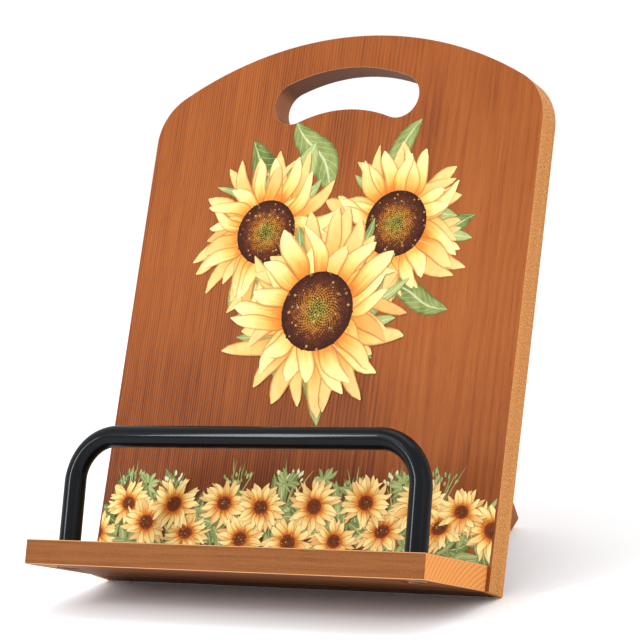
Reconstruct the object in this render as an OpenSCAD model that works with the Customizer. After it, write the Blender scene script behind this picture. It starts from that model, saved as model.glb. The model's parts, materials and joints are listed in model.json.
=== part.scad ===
// Book display stand: a leaning board with a ledge, a page bar and a folding rear leg.
// The stand faces -Y, and rests on the floor at Z = 0 on the board's rear lower edge and the leg's foot.

/* [Back board] */
// Width of the board
board_w = 240; // [200:1:320]
// Height of the board, measured up its face to the crown
board_h = 300; // [250:1:380]
// Thickness of the board
board_t = 15; // [12:0.5:20]
// Lean of the board from the vertical, in degrees
lean = 25; // [18:0.5:32]
// Radius of the crown along the top edge
crown_r = 205; // [170:1:400]
// Radius of the two shoulders
shoulder_r = 30; // [15:1:50]

/* [Handle slot] */
// Overall length of the slot
slot_len = 90; // [70:1:120]
// Width of the slot
slot_w = 24; // [18:0.5:30]
// Radius of the slot's curved centre line
slot_r = 86; // [70:1:200]
// Distance from the crown down to the slot's centre line
slot_drop = 30; // [24:1:60]

/* [Ledge] */
// Depth of the ledge, from the board to its front edge
ledge_d = 62; // [50:1:80]
// Thickness of the ledge
ledge_t = 13; // [12:0.5:18]
// How far each end of the ledge stops short of the board's side
ledge_inset = 2; // [0:0.5:10]
// Angle by which the ledge opens out beyond square to the board, in degrees
ledge_open = 5.7; // [0:0.1:10]

/* [Page bar] */
// Outer diameter of the tube
bar_d = 11.5; // [10:0.5:14]
// Wall of the tube
bar_wall = 1.2; // [1:0.1:1.5]
// Height of the bar above the ledge, to the top of the tube
bar_h = 61.7; // [50:0.1:90]
// Radius of the tube's centre line in the two bends
bar_bend = 24; // [20:1:36]
// Distance from the end of the ledge to the leg's centre line
bar_from_end = 15; // [12:0.5:40]
// Distance from the front edge of the ledge to the leg's centre line
bar_from_front = 17.3; // [12:0.1:22]

/* [Bar fixings] */
// Length of the threaded insert in each end of the tube
insert_len = 16; // [12:1:20]
// Thread diameter of the bar screws
bar_screw_d = 5; // [4:0.5:6]
// How far the bar screws reach into their inserts
bar_screw_grip = 12; // [8:1:14]
// Head diameter of the bar screws
bar_head_d = 9; // [8.5:0.5:11]
// Head height of the bar screws
bar_head_h = 3.4; // [2.5:0.1:4]
// Washer diameter
washer_d = 14; // [12.5:0.5:16]
// Washer thickness
washer_t = 1.2; // [0.8:0.1:1.6]

/* [Ledge screws] */
// Shank diameter of the ledge screws
ledge_screw_d = 4; // [3.5:0.5:5]
// Head diameter of the ledge screws
ledge_head_d = 8; // [7:0.5:9]
// How far the ledge screws reach into the ledge
ledge_bite = 20; // [15:1:25]
// Distance from the end of the ledge to each outer screw
ledge_screw_from_end = 34; // [26:1:60]

/* [Rear leg] */
// Width of the leg
leg_w = 114; // [100:1:180]
// Thickness of the leg
leg_t = 12; // [11:0.5:16]
// Angle between the board and the open leg, in degrees
leg_angle = 50; // [41:0.5:58]
// Height of the hinge axis up the board
hinge_up = 160; // [120:1:200]

/* [Hinges] */
// Length of each hinge
hinge_len = 30; // [24:1:34]
// Distance from the middle of the stand to the middle of each hinge
hinge_off = 33; // [24:0.5:34]
// Width of each leaf, from the hinge axis to its far edge
leaf_w = 13; // [12:0.5:14]
// Thickness of each leaf
leaf_t = 1.2; // [1:0.1:1.5]
// Outer diameter of the knuckles
knuckle_d = 4.4; // [4:0.1:5]
// Pin diameter
pin_d = 2; // [1.8:0.1:2.2]
// Number of knuckles in a hinge
knuckles = 5; // [3:2:5]
// Shank diameter of the hinge screws
hinge_screw_d = 2.2; // [2:0.1:2.6]
// Head diameter of the hinge screws
hinge_head_d = 4.2; // [4:0.1:4.6]
// Length of the screws in the board leaves
board_leaf_screw = 11; // [8:0.5:11.5]
// Length of the screws in the leg leaves
leg_leaf_screw = 7; // [6:0.5:7.5]
// Distance between the two screws of a leaf
hinge_screw_pitch = 18; // [14:1:18]

/* [Clearances] */
// Gap left between the board and the leg, open or folded
seat_gap = 0.3; // [0.2:0.05:0.5]
// Radial clearance of a hinge pin in the knuckles that turn on it
pin_run = 0.05; // [0.02:0.01:0.1]
// Radial clearance of a hinge pin in the knuckles that hold it
pin_hold = 0.01; // [0.01:0.01:0.02]
// Gap between neighbouring knuckles, and round a knuckle in its groove
knuckle_gap = 0.2; // [0.1:0.05:0.3]
// Clearance round a leaf in its recess
let_in_gap = 0.1; // [0.05:0.05:0.2]
// Radial clearance of a screw in its hole
screw_gap = 0.05; // [0.03:0.01:0.1]
// Radial clearance of an insert in the tube
insert_gap = 0.02; // [0.01:0.01:0.05]
// Depth of a screw head below the surface round it
head_sink = 0.2; // [0:0.1:0.5]

/* [Hidden] */
$fn = 96;
sides = [-1, 1];
side_names = ["left", "right"];
screw_places = ["inner", "outer"];
ledge_screw_names = ["left", "centre", "right"];
leaf_names = ["board", "leg"];

eps = 0.01;
through = 1;
screw_tip = 0.4;
arc_tol = 0.03;
arc_join = 2;

// Crown and shoulders: the shoulder arcs touch the sides and the crown
crown_y = board_h - crown_r;
shoulder_x = board_w / 2 - shoulder_r;
shoulder_y = crown_y + sqrt(pow(crown_r - shoulder_r, 2) - pow(shoulder_x, 2));
crown_half_angle = atan2(shoulder_x, shoulder_y - crown_y);

// Slot: a band about its own centre, with round ends
slot_y = board_h - slot_drop - slot_r;
slot_half_angle = asin((slot_len - slot_w) / 2 / slot_r);

// Ledge and bar
ledge_w = board_w - 2 * ledge_inset;
ledge_slope = lean - ledge_open;
bar_r = bar_d / 2;
bar_x = ledge_w / 2 - bar_from_end;
bar_y = bar_from_front - ledge_d;
bar_top = ledge_t + bar_h - bar_r;
bore_d = bar_d - 2 * bar_wall;
bar_recess = washer_t + bar_head_h + head_sink;
bar_recess_d = washer_d + 2 * let_in_gap;
ledge_screw_x = [for (k = [-1, 0, 1]) k * (ledge_w / 2 - ledge_screw_from_end)];
ledge_screw_up = ledge_t / 2 * cos(ledge_open) - ledge_bite / 2 * sin(ledge_open);

// Leg: its length brings the foot's inner corner down to the floor
half_gap = seat_gap / 2;
leg_slope = leg_angle - lean;
axis_y = half_gap * cos(lean) + hinge_up * sin(lean);
axis_z = hinge_up * cos(lean) - half_gap * sin(lean);
leg_len = (axis_z + half_gap * sin(leg_slope)) / cos(leg_slope);

// Hinges
knuckle_len = hinge_len / knuckles;
leaf_screw_up = (leaf_w + knuckle_d / 2) / 2;

// The origin is under the middle of the whole stand
front_y = -board_t * cos(lean) - ledge_d * cos(ledge_slope);
foot_y = axis_y + leg_len * sin(leg_slope) + (half_gap + leg_t) * cos(leg_slope);
rear_y = max(foot_y, board_h * sin(lean));
middle_y = (front_y + rear_y) / 2;

wood = [0.70, 0.42, 0.26];
wood_light = [0.80, 0.54, 0.32];
black = [0.08, 0.09, 0.10];
steel = [0.70, 0.71, 0.73];
brass = [0.80, 0.66, 0.36];

function hinge_screw_name(s, leaf, n) = str(s, "_hinge_", leaf, "_screw_", screw_places[n]);

// Board frame: X across, Y from the front face (0) to the rear face, Z up the board from its foot
module in_board() {
    translate([0, -middle_y, 0])
        rotate([-lean, 0, 0])
            translate([0, -board_t, 0])
                children();
}

// Ledge frame: Y runs back to the board (0), Z up from the underside
module in_ledge() {
    in_board()
        rotate([ledge_open, 0, 0])
            children();
}

// Hinge frame: the axis is X, Y points away from the board's rear face, Z up the board
module in_hinge() {
    in_board()
        translate([0, board_t + half_gap, hinge_up])
            children();
}

// A countersunk wood screw along +Y, with the face of its head at y = 0; grow makes its hole
module countersunk(d, head_d, len, grow = 0) {
    head_h = (head_d - d) / 2;
    rotate([-90, 0, 0]) {
        translate([0, 0, -grow])
            cylinder(d1 = head_d + 4 * grow, d2 = d + 2 * grow, h = head_h + grow);
        cylinder(d = d + 2 * grow, h = len - d * screw_tip);
        translate([0, 0, len - d * screw_tip])
            cylinder(d1 = d + 2 * grow, d2 = d * screw_tip + 2 * grow, h = d * screw_tip + grow);
    }
}

// Points of an arc about a centre, with angles from +X, close enough together to stay within arc_tol
function arc(centre, r, from, to) =
    let (steps = ceil(abs(to - from) / (2 * acos(1 - arc_tol / r))))
    [for (i = [0 : steps]) let (a = from + (to - from) * i / steps) centre + r * [cos(a), sin(a)]];

module board_outline() {
    shoulder_end = 90 - crown_half_angle;
    polygon(concat(
        [[-board_w / 2, 0], [board_w / 2, 0]],
        arc([shoulder_x, shoulder_y], shoulder_r, 0, shoulder_end - arc_join),
        arc([0, crown_y], crown_r, shoulder_end, 180 - shoulder_end),
        arc([-shoulder_x, shoulder_y], shoulder_r, 180 - shoulder_end + arc_join, 180)
    ));
}

module slot_outline() {
    outer = slot_r + slot_w / 2;
    inner = slot_r - slot_w / 2;
    right = 90 - slot_half_angle;
    left = 90 + slot_half_angle;
    centre = [0, slot_y];
    function round_end(a, from) = arc(
        centre + slot_r * [cos(a), sin(a)], slot_w / 2, from + arc_join, from + 180 - arc_join
    );
    polygon(concat(
        arc(centre, outer, right, left),
        round_end(left, left),
        arc(centre, inner, left, right),
        round_end(right, right + 180)
    ));
}

// Flat outlines drawn in X and Z, through the board's thickness
module through_board(from, to) {
    translate([0, to, 0])
        rotate([90, 0, 0])
            linear_extrude(to - from)
                children();
}

module back_board() {
    color(wood)
        in_board()
            difference() {
                through_board(0, board_t)
                    board_outline();
                through_board(-through, board_t + through)
                    slot_outline();
                ledge_screws(screw_gap);
                at_hinges()
                    translate([0, board_t + half_gap, hinge_up])
                        leaf_recess();
            }
}

// The ledge's rear face is planed to the board's slope
module ledge() {
    color(wood)
        difference() {
            in_ledge()
                difference() {
                    translate([-ledge_w / 2, 0, 0])
                        rotate([90, 0, 90])
                            linear_extrude(ledge_w)
                                polygon([
                                    [-ledge_d, 0],
                                    [0, 0],
                                    [ledge_t * tan(ledge_open), ledge_t],
                                    [-ledge_d, ledge_t]
                                ]);
                    at_bar_legs() {
                        translate([0, 0, -through])
                            cylinder(d = bar_recess_d, h = bar_recess + through);
                        cylinder(d = bar_screw_d + 2 * screw_gap, h = ledge_t + through);
                    }
                }
            in_board()
                ledge_screws(screw_gap);
        }
}

module at_bar_legs() {
    for (s = sides)
        translate([s * bar_x, bar_y, 0])
            children();
}

// The tube's solid path at diameter d: two legs, two bends and the crossbar
module bar_path(d) {
    straight = bar_top - bar_bend - ledge_t;
    span = bar_x - bar_bend;
    for (s = sides) {
        translate([s * bar_x, 0, ledge_t])
            cylinder(d = d, h = straight);
        translate([s * span, 0, bar_top - bar_bend])
            rotate([90, 0, 0])
                rotate([0, 0, s > 0 ? 0 : 90])
                    rotate_extrude(angle = 90)
                        translate([bar_bend, 0])
                            circle(d = d);
    }
    translate([-span, 0, bar_top])
        rotate([0, 90, 0])
            cylinder(d = d, h = 2 * span);
}

module page_bar() {
    color(black)
        in_ledge()
            translate([0, bar_y, 0])
                difference() {
                    bar_path(bar_d);
                    bar_path(bore_d);
                }
}

module bar_insert(s) {
    color(steel)
        in_ledge()
            translate([s * bar_x, bar_y, ledge_t])
                difference() {
                    cylinder(d = bore_d - 2 * insert_gap, h = insert_len);
                    translate([0, 0, -through])
                        cylinder(d = bar_screw_d + 2 * screw_gap, h = insert_len + 2 * through);
                }
}

module bar_washer(s) {
    color(steel)
        in_ledge()
            translate([s * bar_x, bar_y, bar_recess - washer_t])
                difference() {
                    cylinder(d = washer_d, h = washer_t);
                    translate([0, 0, -through])
                        cylinder(d = bar_screw_d + 2 * screw_gap, h = washer_t + 2 * through);
                }
}

// A pan head screw with a cross recess, driven up from under the ledge
module bar_screw(s) {
    under_head = bar_recess - washer_t;
    recess_w = bar_screw_d / 5;
    color(steel)
        in_ledge()
            translate([s * bar_x, bar_y, 0])
                difference() {
                    union() {
                        translate([0, 0, under_head - bar_head_h])
                            cylinder(d1 = bar_head_d - bar_head_h / 2, d2 = bar_head_d, h = bar_head_h);
                        translate([0, 0, under_head - eps])
                            cylinder(d = bar_screw_d, h = ledge_t - under_head + bar_screw_grip + eps);
                    }
                    for (turn = [0, 90])
                        rotate(turn)
                            translate([-bar_head_d / 4, -recess_w / 2, head_sink - through])
                                cube([bar_head_d / 2, recess_w, through + bar_head_h / 2]);
                }
}

// All three ledge screws, or with grow their holes, in the board frame
module ledge_screws(grow = 0) {
    for (n = [0 : len(ledge_screw_x) - 1])
        ledge_screw_shape(n, grow);
}

module ledge_screw_shape(n, grow = 0) {
    translate([ledge_screw_x[n], board_t, ledge_screw_up])
        mirror([0, 1, 0])
            countersunk(ledge_screw_d, ledge_head_d, board_t + ledge_bite, grow);
}

module ledge_screw(n) {
    color(steel)
        in_board()
            ledge_screw_shape(n);
}

// The leg's upper end is bevelled, so that it stops flat against the board when it opens
module leg_section() {
    function at(along, out) = [
        along * sin(leg_angle) + out * cos(leg_angle),
        -along * cos(leg_angle) + out * sin(leg_angle)
    ];
    function on_bevel(out) = (half_gap - out * cos(leg_angle)) / sin(leg_angle);
    outer = half_gap + leg_t;
    polygon([
        at(on_bevel(half_gap), half_gap),
        at(leg_len, half_gap),
        at(leg_len, outer),
        at(on_bevel(outer), outer)
    ]);
}

module rear_leg() {
    color(wood_light)
        in_hinge()
            difference() {
                translate([-leg_w / 2, 0, 0])
                    rotate([90, 0, 90])
                        linear_extrude(leg_w)
                            leg_section();
                at_hinges()
                    mirror([0, 1, 0])
                        leaf_recess(leg_leaf_screw);
            }
}

module at_hinges() {
    for (s = sides)
        translate([s * hinge_off, 0, 0])
            children();
}

// What a leaf, its knuckles and its screws take out of the wood below Y = -half_gap
module leaf_recess(screw_len = board_leaf_screw) {
    width = hinge_len + 2 * let_in_gap;
    translate([-width / 2, -half_gap - leaf_t, 0])
        cube([width, leaf_t + through, leaf_w + let_in_gap]);
    translate([-width / 2, 0, 0])
        rotate([0, 90, 0])
            cylinder(d = knuckle_d + 2 * knuckle_gap, h = width);
    for (n = [0, 1])
        hinge_screw_shape(n, screw_len, screw_gap);
}

// A leaf below Y = -half_gap, with every other knuckle, starting from number first
module leaf(first, pin_gap) {
    difference() {
        union() {
            translate([-hinge_len / 2, -half_gap - leaf_t, 0])
                cube([hinge_len, leaf_t, leaf_w]);
            for (k = [first : 2 : knuckles - 1])
                knuckle(k, knuckle_d, 0);
        }
        for (k = [1 - first : 2 : knuckles - 1])
            knuckle(k, knuckle_d + 2 * knuckle_gap, knuckle_gap);
        translate([-hinge_len / 2 - through, 0, 0])
            rotate([0, 90, 0])
                cylinder(d = pin_d + 2 * pin_gap, h = hinge_len + 2 * through);
        for (n = [0, 1])
            hinge_screw_shape(n, board_leaf_screw, screw_gap);
    }
}

module knuckle(k, d, extra) {
    translate([-hinge_len / 2 + k * knuckle_len - extra, 0, 0])
        rotate([0, 90, 0])
            cylinder(d = d, h = knuckle_len + 2 * extra);
}

module hinge_screw_shape(n, len, grow = 0) {
    translate([(n - 0.5) * hinge_screw_pitch, -half_gap - eps, leaf_screw_up])
        mirror([0, 1, 0])
            countersunk(hinge_screw_d, hinge_head_d, len, grow);
}

module board_leaf(s) {
    color(brass)
        in_hinge()
            translate([s * hinge_off, 0, 0])
                leaf(0, pin_hold);
}

module leg_leaf(s) {
    color(brass)
        in_hinge()
            translate([s * hinge_off, 0, 0])
                mirror([0, 1, 0])
                    leaf(1, pin_run);
}

module hinge_pin(s) {
    color(brass)
        in_hinge()
            translate([s * hinge_off - hinge_len / 2, 0, 0])
                rotate([0, 90, 0])
                    cylinder(d = pin_d, h = hinge_len);
}

// Screw n = 0 is the one nearer the middle of the stand
module hinge_screw(s, leaf, n) {
    on_leg = leaf == "leg";
    color(brass)
        in_hinge()
            translate([s * hinge_off, 0, 0])
                mirror([0, on_leg ? 1 : 0, 0])
                    hinge_screw_shape(s > 0 ? n : 1 - n, on_leg ? leg_leaf_screw : board_leaf_screw);
}

back_board();
ledge();
page_bar();
rear_leg();
for (k = [0, 1]) {
    bar_insert(sides[k]);
    bar_washer(sides[k]);
    bar_screw(sides[k]);
    board_leaf(sides[k]);
    leg_leaf(sides[k]);
    hinge_pin(sides[k]);
    for (leaf = leaf_names, n = [0, 1]) {
        name = hinge_screw_name(side_names[k], leaf, n);
        hinge_screw(sides[k], leaf, n);
    }
}
for (n = [0, 1, 2])
    ledge_screw(n);
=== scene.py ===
import json
import math
import random

import bmesh
import bpy
from mathutils import Matrix, Vector

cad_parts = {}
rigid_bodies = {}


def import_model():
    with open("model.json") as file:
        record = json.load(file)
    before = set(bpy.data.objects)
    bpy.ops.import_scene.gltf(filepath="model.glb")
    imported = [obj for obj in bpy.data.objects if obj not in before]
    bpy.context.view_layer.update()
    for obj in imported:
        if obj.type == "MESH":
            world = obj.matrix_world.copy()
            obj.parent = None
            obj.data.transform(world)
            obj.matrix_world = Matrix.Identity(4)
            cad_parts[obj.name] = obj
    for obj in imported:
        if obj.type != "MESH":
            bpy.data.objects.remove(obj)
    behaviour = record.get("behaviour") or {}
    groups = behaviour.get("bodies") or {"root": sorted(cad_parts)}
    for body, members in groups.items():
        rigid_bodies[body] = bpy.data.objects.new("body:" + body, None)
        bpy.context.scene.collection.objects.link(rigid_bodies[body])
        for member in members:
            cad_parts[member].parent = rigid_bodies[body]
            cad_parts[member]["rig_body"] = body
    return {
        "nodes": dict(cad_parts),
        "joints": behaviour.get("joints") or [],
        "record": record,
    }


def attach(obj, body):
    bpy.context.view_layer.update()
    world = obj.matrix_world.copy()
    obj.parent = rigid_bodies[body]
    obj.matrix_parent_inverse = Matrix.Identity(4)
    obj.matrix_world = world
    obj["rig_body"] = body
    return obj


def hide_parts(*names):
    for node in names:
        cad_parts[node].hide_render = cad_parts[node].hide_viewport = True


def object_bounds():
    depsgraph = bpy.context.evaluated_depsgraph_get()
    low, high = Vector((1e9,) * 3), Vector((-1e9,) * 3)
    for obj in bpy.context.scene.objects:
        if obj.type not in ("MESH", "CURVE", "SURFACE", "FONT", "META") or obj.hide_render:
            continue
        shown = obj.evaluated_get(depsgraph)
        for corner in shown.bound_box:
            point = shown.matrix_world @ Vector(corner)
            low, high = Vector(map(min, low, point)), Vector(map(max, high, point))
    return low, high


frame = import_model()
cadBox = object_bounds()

mm = 0.001
weldDistance = 0.000002  # corners nearer than this, in metres, are one corner
across = Vector((1, 0, 0))
mounts = {mount["name"]: mount for mount in frame["record"]["mounts"]}


def leaningFrame(mountName, node):
    # x across the stand, y up the board or back along the ledge from the node's edge, z out of the face
    out = Vector(mounts[mountName]["axis"])
    point = Vector(mounts[mountName]["pos_m"])
    along = out.cross(across)
    lowest = min(vertex.co.dot(along) for vertex in frame["nodes"][node].data.vertices)
    origin = point + along * (lowest - point.dot(along))
    origin.x = 0
    axes = Matrix((across, along, out)).transposed().to_4x4()
    return Matrix.Translation(origin) @ axes


onBoard = leaningFrame("page_rest", "back_board")
onLedge = leaningFrame("book_rest", "ledge")


def spanIn(place, node):
    # how far a node reaches in a leaning frame, as its lowest and highest corner there
    back = place.inverted()
    found = [back @ vertex.co for vertex in frame["nodes"][node].data.vertices]
    lowest = Vector(min(point[axis] for point in found) for axis in range(3))
    highest = Vector(max(point[axis] for point in found) for axis in range(3))
    return lowest, highest


# node helpers

class Wire:  # a socket that can be used in sums
    def __init__(self, tree, socket=None):
        self.tree, self.socket = tree, socket

    def make(self, kind, settings=None, sockets=None, output=0):
        node = self.tree.nodes.new(kind)
        for name, value in (settings or {}).items():
            if name == "stops":
                ramp = node.color_ramp
                while len(ramp.elements) < len(value):
                    ramp.elements.new(0.5)
                for element, (place, colour) in zip(ramp.elements, value):
                    element.position, element.color = place, (*colour, 1)
            else:
                setattr(node, name, value)
        for name, value in (sockets or {}).items():
            if isinstance(value, Wire):
                self.tree.links.new(value.socket, node.inputs[name])
            else:
                node.inputs[name].default_value = value
        return Wire(self.tree, node.outputs[output] if node.outputs else None)

    def other(self, output):
        return Wire(self.tree, self.socket.node.outputs[output])

    def maths(self, operation, *values):
        return self.make("ShaderNodeMath", {"operation": operation}, dict(enumerate(values)))

    def of(self, operation, *values):  # one operation on this value first
        return self.maths(operation, self, *values)

    def __add__(self, value):
        return self.maths("ADD", self, value)

    def __radd__(self, value):
        return self.maths("ADD", value, self)

    def __sub__(self, value):
        return self.maths("SUBTRACT", self, value)

    def __rsub__(self, value):
        return self.maths("SUBTRACT", value, self)

    def __mul__(self, value):
        return self.maths("MULTIPLY", self, value)

    def __rmul__(self, value):
        return self.maths("MULTIPLY", value, self)

    def __truediv__(self, value):
        return self.maths("DIVIDE", self, value)

    def __pow__(self, value):
        return self.maths("POWER", self, value)

    def __abs__(self):
        return self.maths("ABSOLUTE", self)

    def step(self, low, high):  # 0 below low, 1 above high, smooth between
        return self.make("ShaderNodeMapRange", {"interpolation_type": "SMOOTHSTEP"},
                         {"Value": self, "From Min": low, "From Max": high})

    def scaled(self, factors):
        return self.make("ShaderNodeVectorMath", {"operation": "MULTIPLY"}, {0: self, 1: factors})

    def vector(self, x, y, z):
        return self.make("ShaderNodeCombineXYZ", None, {"X": x, "Y": y, "Z": z})

    def turnedTo(self, axes):  # this position, turned so that its x, y and z run along the axes
        return self.make("ShaderNodeMapping", {"vector_type": "POINT"},
                         {"Vector": self, "Rotation": Matrix(axes).to_euler()})

    def noise(self, factors, detail=4.0, roughness=0.55, distortion=0.0):
        return self.make("ShaderNodeTexNoise", None, {
            "Vector": self.scaled(factors), "Scale": 1.0,
            "Detail": detail, "Roughness": roughness, "Distortion": distortion})

    def colour(self, first, second):  # mixes two colours by this value
        def full(value):
            return value if isinstance(value, Wire) else (*value, 1)
        return self.make("ShaderNodeMix", {"data_type": "RGBA"},
                         {0: self, 6: full(first), 7: full(second)}, 2)

    def ramp(self, *stops):
        return self.make("ShaderNodeValToRGB", {"stops": stops}, {"Fac": self})

    def store(self, name, value):  # keeps a value on the points of this geometry
        return self.make("GeometryNodeStoreNamedAttribute", {"data_type": "FLOAT", "domain": "POINT"},
                         {"Geometry": self, "Name": name, "Value": value})

    def chance(self, low, high, offset):  # a random value for each element, with this value as the seed
        return self.make("FunctionNodeRandomValue", {"data_type": "FLOAT"},
                         {2: low, 3: high, "Seed": self + offset}, 1)


def newMaterial(name, **fixed):
    material = bpy.data.materials.new(name)
    material.use_nodes = True
    material.node_tree.nodes.clear()
    start = Wire(material.node_tree)
    settings = {key.replace("_", " "): value for key, value in fixed.items()}
    shader = start.make("ShaderNodeBsdfPrincipled", None, settings)
    start.make("ShaderNodeOutputMaterial", None, {"Surface": shader})
    return material, start, shader.socket.node


def finishWith(start, shader, colour, roughness, height=None, depth=0.0, strength=1.0):
    links = {"Base Color": colour, "Roughness": roughness}
    if height is not None:
        links["Normal"] = start.make("ShaderNodeBump", None, {
            "Strength": strength, "Distance": depth, "Height": height})
    for name, value in links.items():
        start.tree.links.new(value.socket, shader.inputs[name])


# stained wood

woodLook = {
    "light": (0.322, 0.091, 0.017), "middle": (0.250, 0.062, 0.0105), "dark": (0.088, 0.018, 0.0050),
    # wornHighlight: the eased corners' colour, partly wear and partly painted highlight
    "pore": (0.13, 0.030, 0.012), "wornHighlight": (0.80, 0.40, 0.17),
    "edge": (0.52, 0.190, 0.036), "edgeDeep": (0.36, 0.105, 0.022), "speck": (0.82, 0.46, 0.17),
    "endGrain": (0.80, 0.32, 0.080), "endDeep": (0.50, 0.165, 0.045),
    # cut and cutEndShade are painted shade on the faces inside the hand slot and at the board's foot
    "cut": (0.33, 0.115, 0.050), "cutEndShade": (0.125, 0.050, 0.026), "cutSpeck": (0.42, 0.19, 0.085),
    "specular": 0.09, "roughness": 0.50, "poreDepth": 0.00010, "relief": 0.75,
    "wander": (0.010, 0.008), "waviness": 0.0011, "ringsInBand": 5,  # how the rings stray and group
    "plainer": (-0.07, 0.06), "figure": 1.25, "figureLost": 0.8,  # between these places the figure weakens
    "spared": (0.03, 0.10), "sparedBy": 0.75,  # between these the painted shade under the page bar fades out
}
# how much each adds to the depth of the stain, beside the clouds' 1
stainMix = {"streak": 0.75, "mottle": 0.45, "fibre": 0.95, "latewood": 0.34, "tone": 0.62}
# how fine each is across, along and below the grain, then its detail, roughness and distortion
woodNoise = {
    "wander": ((9, 2.2, 9), 3), "fine": ((60, 5, 60), 3), "fibre": ((1500, 26, 1500), 5, 0.62),
    "streak": ((330, 7, 330), 4, 0.6), "pores": ((2300, 95, 2300), 3, 0.7),
    "cloud": ((10, 3.5, 10), 4, 0.55, 0.4), "mottle": ((34, 14, 34), 4, 0.6),
    "speckle": ((1500, 1000, 1500), 4, 0.75),
}


def stainedWood(name, grain, face, piece, heart, crown=None):
    # grain runs along the piece, face is its show side, and the tree's heart lay across and below it
    grain, face = grain.normalized(), face.normalized()
    material, start, shader = newMaterial(name, Specular_IOR_Level=woodLook["specular"])
    where = start.make("ShaderNodeTexCoord", None, None, "Object")
    place = where.turnedTo((grain.cross(face), grain, face))
    normal = where.other("Normal")

    def facing(direction):
        return abs(normal.make("ShaderNodeVectorMath", {"operation": "DOT_PRODUCT"},
                               {0: normal, 1: direction}, "Value"))

    def grained(kind):
        return place.noise(*woodNoise[kind])

    onFace, onEnd = facing(face), facing(grain)
    px = place.make("ShaderNodeSeparateXYZ", None, {0: place})
    py, pz = px.other("Y"), px.other("Z")
    wander, fine = grained("wander") - 0.5, grained("fine") - 0.5
    dx = px - heart[0] + wander * woodLook["wander"][0]
    dz = pz - heart[1] + wander * woodLook["wander"][1]
    radius = (dx * dx + dz * dz) ** 0.5 + fine * woodLook["waviness"]
    ring = (radius / piece["rings"]).of("FRACT")
    latewood = ring.step(0.30, 0.86) * (1 - ring.step(0.88, 0.99))
    ringTone = radius.make("ShaderNodeTexNoise", {"noise_dimensions": "1D"}, {
        "W": radius / (piece["rings"] * woodLook["ringsInBand"]), "Scale": 1.0, "Detail": 2.0})
    fibre, streak = grained("fibre"), grained("streak")
    pores = grained("pores").step(0.60, 0.72)
    cloud, mottle = grained("cloud"), grained("mottle")
    # plainer to the right, where the rings lie flat
    strength = woodLook["figure"] - px.step(*woodLook["plainer"]) * woodLook["figureLost"]
    figure = latewood * (0.5 + ringTone) * strength

    depth = (cloud - 0.5) + (streak - 0.5) * stainMix["streak"] + (mottle - 0.5) * stainMix["mottle"]
    depth = depth + (fibre - 0.5) * stainMix["fibre"] + figure * stainMix["latewood"]
    depth = depth + piece["tone"] * stainMix["tone"]
    if "paintedShadeBelow" in piece:  # painted shade under the page bar: darker towards the foot of the board
        low, high, amount = piece["paintedShadeBelow"]
        spared = 1 - px.step(*woodLook["spared"]) * woodLook["sparedBy"]
        depth = depth + (1 - py.step(low, high)) * spared * amount
    # on the board this colour also carries the painted shade under the page bar
    stainAndShade = depth.ramp((0.0, woodLook["light"]), (0.48, woodLook["middle"]), (1.0, woodLook["dark"]))
    stainAndShade = (pores * 0.42).colour(stainAndShade, woodLook["pore"])
    if "tint" in piece:
        stainAndShade = stainAndShade.scaled(piece["tint"])

    # the long edges took less stain, and the ends show the rings
    speckle = grained("speckle")
    edgeTone = ((streak - 0.30) * 1.6).colour(woodLook["edge"], woodLook["edgeDeep"])
    edgeTone = (speckle.step(0.50, 0.60) * 0.80).colour(edgeTone, woodLook["speck"])
    endTone = latewood * 0.55 + speckle.step(0.45, 0.7) * 0.25
    endTone = endTone.colour(woodLook["endGrain"], woodLook["endDeep"])
    edgeAmount = (1 - onFace.step(0.25, 0.75)) * piece["paleEdges"]
    if crown is None:
        surface = edgeAmount.colour(stainAndShade, edgeTone)
        surface = onEnd.step(0.5, 0.85).colour(surface, endTone)
    else:  # only the outline is pale, and what is cut through the board, inside the hand slot and at its foot, is painted darker as shade
        radial = py - crown["centre"]
        reach = (px * px + radial * radial) ** 0.5
        atSides = abs(px).step(crown["half"] - 0.004, crown["half"] - 0.002)
        atCrown = reach.step(crown["radius"] - 0.012, crown["radius"] - 0.006)
        outline = atSides.of("MAXIMUM", atCrown)
        # painted shade: the faces across the grain, inside the slot and under the foot, are painted darkest
        inside = onEnd.step(0.35, 0.85).colour(woodLook["cut"], woodLook["cutEndShade"])
        inside = (speckle.step(0.5, 0.75) * 0.35).colour(inside, woodLook["cutSpeck"])
        surface = edgeAmount.colour(stainAndShade, outline.colour(inside, edgeTone))
    # the eased corners are painted pale, partly wear and partly a painted highlight where they catch the
    # light
    wornAndLit = onFace.step(0.2, 0.62) * (1 - onFace.step(0.8, 0.985)) * (0.45 + mottle * 0.7)
    surface = wornAndLit.colour(surface, woodLook["wornHighlight"])

    rough = woodLook["roughness"] + (fibre - 0.5) * 0.20 + pores * 0.14 + onEnd.step(0.5, 0.85) * 0.14
    height = fibre * 0.45 - pores * 0.75 + latewood * 0.45 + streak * 0.30
    finishWith(start, shader, surface, rough, height, woodLook["poreDepth"], woodLook["relief"])
    return material


# metals

coatingLook = {
    # both coat colours are tinted blue, a painted part of the coat's blue-grey sheen
    "blueSheenDeep": (0.0016, 0.0022, 0.0032), "cloudy": (0.0034, 0.0044, 0.0062), "scuff": (0.02, 0.022, 0.025),
    "coat": 0.24, "coatRoughness": 0.06, "specular": 0.03, "roughness": 0.23,
    "peelDepth": 0.00004, "peel": 0.35,
}


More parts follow.
